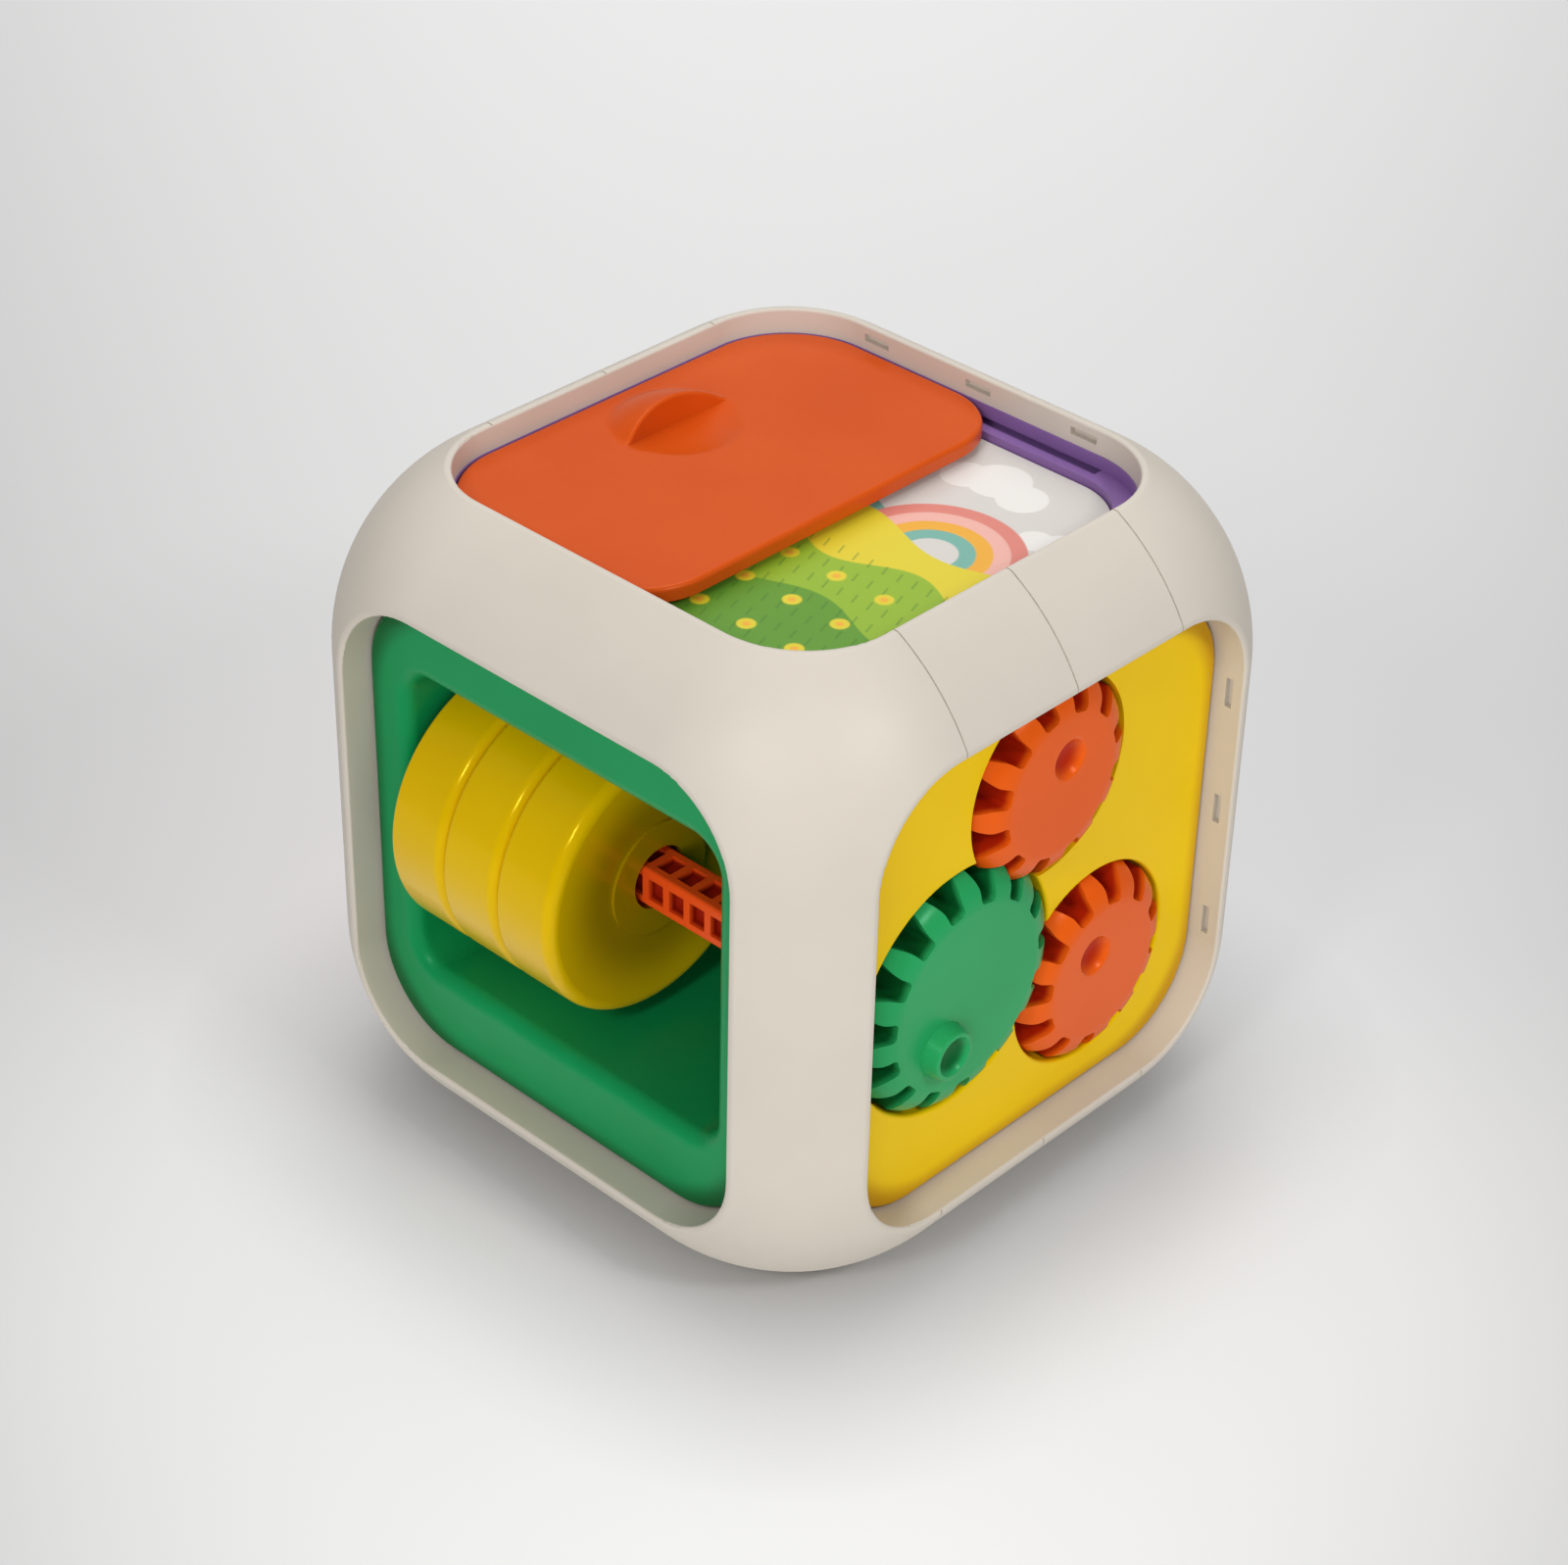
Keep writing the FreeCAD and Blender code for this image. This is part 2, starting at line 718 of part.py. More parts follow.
def gear_fixings(place):
    y, z = place
    end = tube_end - running_gap
    ring = washer(gear_washer_radius, gear_screw_radius + screw_fit, washer_thick)
    bolt = screw(gear_screw_radius, gear_screw_length - gear_screw_spare, screw_head_radius, screw_head_high)
    inward = V(-1, 0, 0)
    return (lay_along(bolt, inward, V(end - washer_thick, y, z)),
            lay_along(ring, inward, V(end, y, z)))


def gear_wells(extra, x0, x1):
    wells = []
    for teeth, place in ((drive_teeth, drive_place), (idler_teeth, upper_place), (idler_teeth, lower_place)):
        radius = gear_module * (teeth / 2 + tooth_tip) + well_gap + extra
        wells.append(rod_along_x(radius, x0, x1, place[0], place[1]))
    return joined(wells)


def gear_panel():
    plate = to_face(panel_plate(), "right")
    ledge = panel_face - panel_step
    shell = gear_wells(well_wall, well_floor - well_wall, ledge)
    collar = gear_wells(well_wall, ledge - flange_thick, panel_face - flange_thick / 2)
    collar = collar.common(to_face(middle_block(ledge - flange_thick, panel_face), "right"))
    panel = plate.fuse([shell, collar]).cut(gear_wells(0, well_floor, panel_face + past))
    rims = []
    for e in panel.Edges:
        b = e.BoundBox
        reach = max(abs(b.YMin), abs(b.YMax), abs(b.ZMin), abs(b.ZMax))
        on_face = max(abs(b.XMin - panel_face), abs(b.XMax - panel_face)) < 0.01
        if on_face and reach < middle_half - panel_round - panel_gap:
            rims.append(e)
    panel = panel.makeFillet(well_edge_round, rims)
    for y, z in (drive_place, upper_place, lower_place):
        bore = gear_shaft_radius + running_gap
        panel = panel.fuse(rod_along_x(bore + gear_tube_wall, tube_end, well_floor, y, z))
        panel = panel.cut(rod_along_x(bore, tube_end - past, well_floor + past, y, z))
    return panel.removeSplitter()


# Card tray, card and door, in the top face

def card_half():
    return opening_half - door_fit - ledge_wide - card_fit


def card_tray():
    top = half - tray_depth
    wall = opening_half - door_fit
    bed = wall - ledge_wide
    ledge = top - ledge_down
    bed_level = top - card_down - card_thick
    base = flange(tray_depth, tray_thick)
    under = rounded_block(bed + tray_floor, bed + tray_floor, bed + tray_floor - edge_centre,
                          bed_level - tray_floor, top - tray_thick / 2)
    tray = base.fuse(under)
    tray = tray.cut(rounded_block(wall, wall, wall - edge_centre, ledge, top + past))
    tray = tray.cut(rounded_block(bed, bed, bed - edge_centre, bed_level, top))
    start = -edge_centre - groove_spare
    end = door_travel_end() - door_free_corner + groove_spare
    floor = ledge - channel_deep
    for side in (-1, 1):
        channel = box(start, end, wall - channel_wide, wall, floor, ledge + past)
        groove = box(start, end, wall - past, wall + tongue_wide + tongue_fit,
                     floor, floor + tongue_thick + 2 * tongue_fit)
        tray = tray.cut([on_side(channel, side), on_side(groove, side)])
    return tray.removeSplitter()


def on_side(shape, side):
    # a copy on the +Y side, or its mirror image on the -Y side
    return shape if side > 0 else shape.mirror(V(0, 0, 0), V(0, 1, 0))


def picture_card():
    size = card_half()
    top = half - tray_depth - card_down
    return rounded_block(size, size, size - edge_centre, top - card_thick, top)


def door_half():
    return opening_half - 2 * door_fit


def door_travel_end():
    # where the free edge stops: its rounded corners come alongside the tray's rounded corners
    return edge_centre + door_free_corner


def door_plate(z0, z1):
    w = door_half()
    x0 = -w
    x1 = x0 + door_length
    back_corner = w - edge_centre
    plate = box(x0, x1, -w, w, z0, z1)
    upright = [e for e in plate.Edges if e.BoundBox.ZLength > (z1 - z0) / 2]
    plate = plate.makeFillet(back_corner, [e for e in upright if e.BoundBox.XMax < x0 + past])
    upright = [e for e in plate.Edges if e.BoundBox.ZLength > (z1 - z0) / 2 and e.BoundBox.XMin > x1 - past]
    plate = plate.makeFillet(door_free_corner, upright)
    return plate.makeFillet(door_edge_round, edges_at_level(plate, z1))


def with_grip(door, level):
    # a domed mound whose front is cut off by an upright hollow face, over a finger dish
    gx = grip_from_end - door_half()
    gy = grip_side
    dome = (grip_radius ** 2 + dome_high ** 2) / (2 * dome_high)
    cap = Part.makeSphere(dome, V(gx, gy, level + dome_high - dome))
    cap = cap.common(Part.makeCylinder(grip_radius + past, dome_high + past, V(gx, gy, level - past)))
    door = door.fuse(cap).removeSplitter()
    foot = [e for e in edges_at_level(door, level) if abs(e.BoundBox.YLength - 2 * grip_radius) < past / 2]
    door = door.makeFillet(dome_foot_round, foot)
    bow = (grip_radius ** 2 + crest_bow ** 2) / (2 * crest_bow)
    front = Part.makeCylinder(bow, dome_high + grip_deep + past, V(gx - crest_bow + bow, gy, level - grip_deep))
    reach = grip_radius + dome_foot_round
    above = box(gx - reach, gx + reach, gy - reach, gy + reach, level, level + dome_high + past)
    above = above.common(front)
    door = door.cut(above)
    high = [e for e in door.Edges if e.BoundBox.ZMax > level + dome_high / 2]
    door = door.makeFillet(crest_round, [e for e in high if e.BoundBox.YLength > grip_radius])
    ball = (grip_radius ** 2 + grip_deep ** 2) / (2 * grip_deep)
    dish = Part.makeSphere(ball, V(gx, gy, level - grip_deep + ball))
    below = box(gx - reach, gx + reach, gy - reach, gy + reach, level - grip_deep - past, level)
    return door.cut(dish.common(front).common(below))


def sliding_door():
    ledge = half - tray_depth - ledge_down
    z0 = ledge + tongue_fit
    z1 = z0 + door_thick
    x0 = -door_half()
    door = with_grip(door_plate(z0, z1), z1)
    foot = ledge - channel_deep + tongue_fit
    inner = opening_half - door_fit - channel_wide + tongue_fit
    start = x0 + door_half() - edge_centre
    end = x0 + door_length - door_free_corner
    for side in (-1, 1):
        leg = box(start, end, inner, door_half(), foot, z0 + door_thick / 2)
        tongue = box(start, end, inner, door_half() + tongue_wide, foot, foot + tongue_thick)
        door = door.fuse([on_side(leg, side), on_side(tongue, side)])
    return door.removeSplitter()


def build():
    front_half, back_half = frame_halves()
    rod_bolts, rod_rings = rod_fixings()
    nodes = {
        "frame_front_half": front_half,
        "frame_back_half": back_half,
        "frame_screws": frame_screws(),
        "disc_tray": disc_tray(),
        "disc_rod": disc_rod(),
        "rod_screws": rod_bolts,
        "rod_washers": rod_rings,
        "gear_panel": gear_panel(),
        "drive_gear": drive_gear(),
        "upper_gear": idler_gear(upper_bearing, upper_place, upper_dimple_angle),
        "lower_gear": idler_gear(lower_bearing, lower_place, lower_dimple_angle),
        "card_tray": card_tray(),
        "picture_card": picture_card(),
        "sliding_door": sliding_door(),
        "left_panel": plain_panel("left"),
        "back_panel": plain_panel("back"),
        "base_panel": plain_panel("bottom"),
    }
    for k in range(3):
        nodes["disc_%d" % (k + 1)] = disc(k)
        nodes["disc_bush_%d" % (k + 1)] = disc_bush(k)
    for name, place in (("drive", drive_place), ("upper", upper_place), ("lower", lower_place)):
        bolt, ring = gear_fixings(place)
        nodes[name + "_gear_screw"] = bolt
        nodes[name + "_gear_washer"] = ring
    return nodes


os.makedirs("parts", exist_ok=True)
for name, shape in build().items():
    lifted = shape.copy()
    lifted.translate(V(0, 0, half))
    solids = len(lifted.Solids)
    print(name, "solids", solids, "valid", lifted.isValid(), "volume", round(lifted.Volume, 1))
    lifted.exportStep("parts/" + name + ".step")
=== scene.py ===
# %% [markdown]
# An activity cube for a toddler: a cream frame with a toy or a plain panel in every side. The model
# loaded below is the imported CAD, so every piece of plastic already has its real size and place.
# What is left for Blender is the look: gloss, grain, print, wear, studio light and the camera.

# %% Load the cube
import bpy
import json
import math
from mathutils import Matrix, Vector


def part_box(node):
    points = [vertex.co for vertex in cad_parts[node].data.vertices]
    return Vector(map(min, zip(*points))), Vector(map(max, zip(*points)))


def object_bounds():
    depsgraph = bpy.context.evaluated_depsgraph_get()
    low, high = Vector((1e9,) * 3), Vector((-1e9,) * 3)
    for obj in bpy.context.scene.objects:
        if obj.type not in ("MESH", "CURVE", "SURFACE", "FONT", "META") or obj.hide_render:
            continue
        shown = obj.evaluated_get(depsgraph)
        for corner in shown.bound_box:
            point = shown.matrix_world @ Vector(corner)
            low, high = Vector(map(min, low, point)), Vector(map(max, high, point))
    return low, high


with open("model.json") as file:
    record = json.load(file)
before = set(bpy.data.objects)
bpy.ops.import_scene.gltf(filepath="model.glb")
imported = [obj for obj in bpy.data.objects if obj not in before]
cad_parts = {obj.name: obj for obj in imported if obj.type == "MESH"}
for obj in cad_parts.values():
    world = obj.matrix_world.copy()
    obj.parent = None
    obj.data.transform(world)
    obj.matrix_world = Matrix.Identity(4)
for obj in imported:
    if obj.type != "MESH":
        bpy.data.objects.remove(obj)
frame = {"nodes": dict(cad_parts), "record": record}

cad_box = [list(corner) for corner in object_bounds()]
nodes = frame["nodes"]
scene = bpy.context.scene
scene.view_settings.view_transform = "Standard"
print("nodes", len(nodes), "box", cad_box)

# %% [markdown]
# The camera comes first, so that every finish is judged from the side that matters. Its place was
# worked out from the edges of the cube in the picture: a long lens from the front right, a little
# higher than the lid, and turned very slightly about its own axis. A camera looks along its own -Z,
# so its three axes are written as the columns of a matrix. One helper turns two angles into a
# direction, and the lamps use it again later.

# %% Camera
azimuth = math.radians(43.024)
elevation = math.radians(34.196)
roll = math.radians(1.339)
distance = 0.6689
cube_centre = (Vector(cad_box[0]) + Vector(cad_box[1])) / 2
frame_pixels = 1600
focal_pixels = 3718.5
side_step = -0.001035
rise_step = -0.001185
sensor_width = 36
nearest_seen = 0.05
farthest_seen = 20


def direction(around, upwards):
    flat = math.cos(upwards)
    return Vector((flat * math.sin(around), -flat * math.cos(around), math.sin(upwards)))


back = direction(azimuth, elevation)
level_right = Vector((math.cos(azimuth), math.sin(azimuth), 0))
level_up = back.cross(level_right)
right = level_right * math.cos(roll) + level_up * math.sin(roll)
up = level_up * math.cos(roll) - level_right * math.sin(roll)
lens = bpy.data.cameras.new("camera")
lens.sensor_width = sensor_width
lens.lens = sensor_width * focal_pixels / frame_pixels
lens.clip_start = nearest_seen
lens.clip_end = farthest_seen
camera = bpy.data.objects.new("camera", lens)
scene.collection.objects.link(camera)
turn = Matrix((right, up, back)).transposed().to_4x4()
spot = cube_centre + back * distance + right * side_step + up * rise_step
camera.matrix_world = Matrix.Translation(spot) @ turn
scene.camera = camera
print("lens", round(lens.lens, 2), "mm, camera at", [round(v, 4) for v in spot])

# %% [markdown]
# Colours are given on the usual scale from 0 to 255, but a shader counts in linear values, where
# twice the number is twice the light. The usual curve between the two is straight near black and a
# power above that.

# %% Colours
full_level = 255
straight_end = 0.04045
straight_slope = 12.92
curve_offset = 0.055
curve_power = 2.4
black = (0, 0, 0, 1)
mid_grey = 128


def linear(red, green, blue):
    levels = [level / full_level for level in (red, green, blue)]
    low = [level / straight_slope for level in levels]
    high = [((level + curve_offset) / (1 + curve_offset)) ** curve_power for level in levels]
    return tuple(a if level <= straight_end else b for level, a, b in zip(levels, low, high)) + (1.0,)


print("middle grey in linear values", round(linear(mid_grey, mid_grey, mid_grey)[0], 3))

# %% [markdown]
# Materials are node trees. Writing every node out by hand is long, so one helper adds a node, sets
# its options and fills its inputs: a number is typed in, a socket is linked. The Mix node has its
# own sockets for each kind of data, so the numbers of those for colour are named here.

# %% Node helpers
mix_inputs = (0, 6, 7)
mix_output = 2
per_metre = 1000.0


def fill(tree, socket, value):
    if isinstance(value, bpy.types.NodeSocket):
        tree.links.new(value, socket)
    else:
        socket.default_value = value


def add(tree, kind, options=None, **inputs):
    made = tree.nodes.new(kind)
    for name, value in (options or {}).items():
        setattr(made, name, value)
    for name, value in inputs.items():
        fill(tree, made.inputs[name.replace("_", " ")], value)
    return made


def calc(tree, operation, *values):
    made = tree.nodes.new("ShaderNodeMath")
    made.operation = operation
    for place, value in enumerate(values):
        fill(tree, made.inputs[place], value)
    return made.outputs[0]


def square(tree, value):
    return calc(tree, "MULTIPLY", value, value)


def mix_colour(tree, amount, first, second):
    made = tree.nodes.new("ShaderNodeMix")
    made.data_type = "RGBA"
    for place, value in zip(mix_inputs, (amount, first, second)):
        fill(tree, made.inputs[place], value)
    return made.outputs[mix_output]


def blank_material(name):
    material = bpy.data.materials.new(name)
    material.use_nodes = True
    tree = material.node_tree
    shader = tree.nodes["Principled BSDF"]
    place = add(tree, "ShaderNodeTexCoord").outputs["Object"]
    return material, tree, shader, place


def millimetres(tree):
    spot = add(tree, "ShaderNodeSeparateXYZ", Vector=add(tree, "ShaderNodeTexCoord").outputs["Object"])
    return [calc(tree, "MULTIPLY", way, per_metre) for way in spot.outputs]


print("a colour mix has", len(mix_inputs), "inputs")

# %% [markdown]
# The studio is one wide sheet of paper under and behind the cube. A sheet that only just fills the
# view would show its edge from the other sides, so it is metres wide. Greys are painted on it along
# two ways on the ground: ahead, as the camera looks, and aside, to its right.

# %% Floor sheet
sheet_half = 6.0
bpy.ops.mesh.primitive_plane_add(size=2 * sheet_half)
floor = bpy.context.object
floor.name = "floor_sheet"
paper, tree, shader, place = blank_material("studio_sheet")
floor.data.materials.append(paper)
parts = add(tree, "ShaderNodeSeparateXYZ", Vector=place)


def ground_way(tree, parts, x_share, y_share):
    return calc(tree, "ADD", calc(tree, "MULTIPLY", parts.outputs[0], x_share),
                calc(tree, "MULTIPLY", parts.outputs[1], y_share))


ahead = ground_way(tree, parts, -math.sin(azimuth), math.cos(azimuth))
aside = ground_way(tree, parts, math.cos(azimuth), math.sin(azimuth))
print("floor sheet is", 2 * sheet_half, "m wide")

# %% [markdown]
# In the picture the paper is palest just in front of the cube, darker from under the cube onwards,
# and a little paler again far behind it. Lamps could do that, but they would light the cube as well,
# so the greys are a colour ramp. Each zone is a place in metres ahead of the cube's middle and a
# grey on the 0 to 255 scale, and the B-spline lets one flow into the next.

# %% Greys along the ground
paper_zones = {
    "near the camera": (-0.14, 239), "palest": (-0.06, 241), "under the cube": (0.04, 219),
    "behind the cube": (0.20, 217), "far away": (0.54, 228),
}
ramp_start = -0.2
ramp_length = 1.0
along = calc(tree, "DIVIDE", calc(tree, "SUBTRACT", ahead, ramp_start), ramp_length)
ramp = add(tree, "ShaderNodeValToRGB", Fac=along)
ramp.color_ramp.interpolation = "B_SPLINE"
stops = ramp.color_ramp.elements
for at, grey in list(paper_zones.values())[1:-1]:
    stops.new((at - ramp_start) / ramp_length)
for stop, (at, grey) in zip(stops, paper_zones.values()):
    stop.position = (at - ramp_start) / ramp_length
    stop.color = linear(grey, grey, grey)
print("zones on the paper", len(paper_zones))

# %% [markdown]
# The paper also darkens to both sides, like a beam that fades away from its middle line. How far a
# spot is to the side is counted as a slope from the point below the lens, so the beam widens as it
# goes. From the other side that point would show as a bright wedge, so in front of the zone nearest
# to the camera the beam widens again, and the fade stops at a darkest value.

# %% Greys to the sides
lens_ground = distance * math.cos(elevation)
sideways_fall = 2.9
darkest_side = 0.6
beam_turn = paper_zones["near the camera"][0]
beam_opening = 4.0
turn_width = lens_ground + beam_turn
beyond_lens = calc(tree, "ADD", ahead, lens_ground)
before_turn = calc(tree, "MULTIPLY_ADD", ahead, -beam_opening, turn_width + beam_opening * beam_turn)
slope = calc(tree, "DIVIDE", aside, calc(tree, "MAXIMUM", beyond_lens, before_turn))
fade = calc(tree, "SUBTRACT", 1.0, calc(tree, "MULTIPLY", square(tree, slope), sideways_fall))
side_fade = calc(tree, "MAXIMUM", fade, darkest_side)
print("the beam starts", round(lens_ground, 3), "m from the cube's middle")

# %% [markdown]
# The soft shadow round the foot has two parts. One is real, the light that the cube keeps off the
# sheet. The other is an ambient occlusion node, which darkens the paper where the cube is near. It
# works on a glow that is mixed in for camera rays only, so the sheet looks evenly pale and yet
# throws no extra light on the cube.

# %% Shadow on the paper
shadow_reach = 0.045
shadow_strength = 1.7
shadow_samples = 16
paper_glow = 1.15
glow_share = 0.5
paper_roughness = 0.9
paper_shine = 0.1
contact = add(tree, "ShaderNodeAmbientOcclusion", {"samples": shadow_samples}, Distance=shadow_reach)
shadow = calc(tree, "POWER", contact.outputs["AO"], shadow_strength)
lit_paper = mix_colour(tree, side_fade, black, ramp.outputs[0])
seen_paper = mix_colour(tree, calc(tree, "MULTIPLY", side_fade, shadow), black, ramp.outputs[0])
fill(tree, shader.inputs["Base Color"], lit_paper)
shader.inputs["Roughness"].default_value = paper_roughness
shader.inputs["Specular IOR Level"].default_value = paper_shine
glow = add(tree, "ShaderNodeEmission", Color=seen_paper, Strength=paper_glow)
rays = add(tree, "ShaderNodeLightPath")
both = add(tree, "ShaderNodeMixShader")
fill(tree, both.inputs[0], calc(tree, "MULTIPLY", rays.outputs["Is Camera Ray"], glow_share))
tree.links.new(shader.outputs[0], both.inputs[1])
tree.links.new(glow.outputs[0], both.inputs[2])
tree.links.new(both.outputs[0], tree.nodes["Material Output"].inputs["Surface"])
print("contact shadow reaches", shadow_reach, "m")

# %% [markdown]
# Product light is big and soft. The world gives an even fill from all round, and less of it where it
# is mirrored, so that gloss stays deep in colour. Lamps alone could light the whole cube, but the
# hollows of the toys would turn black.

# %% World light
fill_light = 0.37
mirrored_light = 0.25
world_colour = (1.0, 0.99, 0.98, 1)
world = bpy.data.worlds.new("studio")
scene.world = world
world.use_nodes = True
world_tree = world.node_tree
background = world_tree.nodes["Background"]
background.inputs["Color"].default_value = world_colour
is_mirrored = add(world_tree, "ShaderNodeLightPath").outputs["Is Glossy Ray"]
world_light = calc(world_tree, "MULTIPLY_ADD", is_mirrored, mirrored_light - fill_light, fill_light)
fill(world_tree, background.inputs["Strength"], world_light)
print("world light", fill_light, "and", mirrored_light, "where it is mirrored")

# %% [markdown]
# Five lamps shape the cube. A soft box high up behind it lights the lid, and a wide one far away at
# the front right lights both toy faces. Two small ones near the cube draw the streaks on discs,
# gears and door, and a weak one lights the back. A big lamp makes a soft shadow edge, a small one a
# hard edge. The wide one and the one at the back are kept out of the gloss, where they would glare.

# %% Lamps
def lamp(name, around, upwards, away, width, height, watts, in_gloss=True):
    spot = cube_centre + away * direction(math.radians(around), math.radians(upwards))
    light = bpy.data.lights.new(name, "AREA")
    light.shape = "RECTANGLE"
    light.size = width
    light.size_y = height
    light.energy = watts
    holder = bpy.data.objects.new(name, light)
    scene.collection.objects.link(holder)
    aim = (cube_centre - spot).to_track_quat("-Z", "Y")
    holder.matrix_world = Matrix.Translation(spot) @ aim.to_matrix().to_4x4()
    holder.visible_glossy = in_gloss
    print(name, "is", away, "m away, with", watts, "W")


lamp("top_softbox", around=-137, upwards=74, away=1.3, width=0.7, height=0.7, watts=4.6)
lamp("low_softbox", around=38, upwards=12, away=5.0, width=2.4, height=2.0, watts=62, in_gloss=False)
lamp("front_key", around=17, upwards=38, away=1.25, width=0.2, height=0.2, watts=3.5)
lamp("side_key", around=89, upwards=42, away=1.25, width=0.18, height=0.18, watts=3.8)
lamp("back_fill", around=-137, upwards=38, away=1.3, width=0.7, height=0.5, watts=4.0, in_gloss=False)

# %% [markdown]
# Moulded plastic is never one flat colour. The melt leaves faint clouds in the tint, the polish of
# the mould leaves a fine grain, and handling leaves hair scratches that only show in the gloss. All
# three are noise at their real scale: clouds tens of millimetres wide, grain under a millimetre, and
# scratches as noise that is stretched along one way. The gloss is tinted with the plastic's own
# colour, because white gloss made the strong colours look milky.

# %% Moulded plastic
cloud_size = 0.03
cloud_detail = 3.0
cloud_low = 0.3
cloud_high = 0.7
cloud_roughness = 0.05
scratch_scale = (60, 900, 350)
scratch_turn = (0.5, 0.3, 0.9)
scratch_low = 0.60
scratch_high = 0.72
grain_scale = 1600.0
grain_depth = 0.0004
fine_detail = 2.0
plastic_ior = 1.49


def cloudy_tint(tree, cloud, tones):
    colour, shade = tones
    amount = add(tree, "ShaderNodeMapRange", Value=cloud, From_Min=cloud_low, From_Max=cloud_high)
    return mix_colour(tree, amount.outputs["Result"], linear(*colour), linear(*shade))


def worn_roughness(tree, place, cloud, roughness, scratches):
    stretch = add(tree, "ShaderNodeMapping", Vector=place, Scale=scratch_scale, Rotation=scratch_turn)
    hair = add(tree, "ShaderNodeTexNoise", Vector=stretch.outputs[0], Scale=1.0, Detail=fine_detail)
    worn = add(tree, "ShaderNodeMapRange", Value=hair.outputs["Fac"], From_Min=scratch_low,
               From_Max=scratch_high)
    scratched = calc(tree, "MULTIPLY_ADD", worn.outputs["Result"], scratches, roughness)
    return calc(tree, "MULTIPLY_ADD", cloud, cloud_roughness, scratched)


def moulded_plastic(name, tones, roughness, grain=0.02, sheen=0.4, tinted=0.5, scratches=0.015):
    material, tree, shader, place = blank_material(name)
    noise = add(tree, "ShaderNodeTexNoise", Vector=place, Scale=1 / cloud_size, Detail=cloud_detail)
    cloud = noise.outputs["Fac"]
    fill(tree, shader.inputs["Base Color"], cloudy_tint(tree, cloud, tones))
    fill(tree, shader.inputs["Roughness"], worn_roughness(tree, place, cloud, roughness, scratches))
    fine = add(tree, "ShaderNodeTexNoise", Vector=place, Scale=grain_scale, Detail=fine_detail)
    bump = add(tree, "ShaderNodeBump", Height=fine.outputs["Fac"], Strength=grain, Distance=grain_depth)
    fill(tree, shader.inputs["Normal"], bump.outputs["Normal"])
    gloss_tint = [level * tinted + full_level * (1 - tinted) for level in tones[0]]
    shader.inputs["IOR"].default_value = plastic_ior
    shader.inputs["Specular IOR Level"].default_value = sheen
    shader.inputs["Specular Tint"].default_value = linear(*gloss_tint)
    return material


print("clouds are", round(cloud_size * per_metre), "mm wide")

# %% [markdown]
# Each plastic has its main tone and the tone of its clouds, a few levels darker. The frame is satin,
# the toys are glossy. The discs shine most, so their gloss is strong and smooth, and the green gear
# has no scratches, because its dark face would show each of them as a speck.

# %% Plastics of the cube
cream_tones = ((210, 202, 190), (205, 197, 185))
green_tones = ((18, 148, 84), (14, 140, 78))
gear_green_tones = ((40, 162, 94), (34, 154, 88))
yellow_tones = ((243, 203, 0), (238, 196, 0))
disc_tones = ((227, 186, 0), (221, 179, 0))
orange_tones = ((231, 94, 16), (225, 89, 13))
door_tones = ((212, 84, 18), (206, 78, 14))
rod_tones = ((240, 84, 26), (234, 78, 22))
purple_tones = ((140, 106, 168), (132, 98, 158))
satin = 0.42
mild_gloss = 0.33
plain_gloss = 0.30
bright_gloss = 0.26
disc_gloss = 0.17

cream = moulded_plastic("cream_shell", cream_tones, satin, grain=0.05)
tray_green = moulded_plastic("tray_green", green_tones, plain_gloss)
gear_green = moulded_plastic("gear_green", gear_green_tones, bright_gloss, grain=0.005, scratches=0.0)
panel_yellow = moulded_plastic("panel_yellow", yellow_tones, mild_gloss, sheen=0.25, tinted=0.85)
disc_yellow = moulded_plastic("disc_yellow", disc_tones, disc_gloss, sheen=1.0, tinted=0.75)
panel_orange = moulded_plastic("panel_orange", orange_tones, bright_gloss)
door_orange = moulded_plastic("door_orange", door_tones, bright_gloss, sheen=0.45)
rod_orange = moulded_plastic("rod_orange", rod_tones, plain_gloss)
tray_purple = moulded_plastic("tray_purple", purple_tones, plain_gloss)
print("materials so far", len(bpy.data.materials))

# %% [markdown]
# Screws and washers are zinc-plated steel. Plating is a metal with a dull, slightly cloudy gloss.
# They sit inside, so a simple metal with uneven roughness is enough.

# %% Plated steel
blotch_scale = 900.0
blotch_detail = 4.0
zinc_pale = (188, 188, 190)
zinc_dark = (150, 151, 156)
zinc_roughness = 0.25
zinc_unevenness = 0.25
steel, tree, shader, place = blank_material("plated_steel")
blotch = add(tree, "ShaderNodeTexNoise", Vector=place, Scale=blotch_scale, Detail=blotch_detail)
zinc = mix_colour(tree, blotch.outputs["Fac"], linear(*zinc_pale), linear(*zinc_dark))
dull = calc(tree, "MULTIPLY_ADD", blotch.outputs["Fac"], zinc_unevenness, zinc_roughness)
fill(tree, shader.inputs["Base Color"], zinc)
fill(tree, shader.inputs["Roughness"], dull)
shader.inputs["Metallic"].default_value = 1.0
print("steel roughness from", zinc_roughness, "to", zinc_roughness + zinc_unevenness)

# %% [markdown]
# The card under the door is printed, and its picture is built from plain shapes. An image would be
# the usual way, but shapes stay sharp at any size. Each shape is a mask, a value that is 1 inside
# and 0 outside, worked out from the place on the card in millimetres. A mask is sharp except for a
# thin soft edge, and circles, waves and dots are all made from the one that asks what lies below a
# limit.

# %% Shapes for the print
soft_edge = 0.25


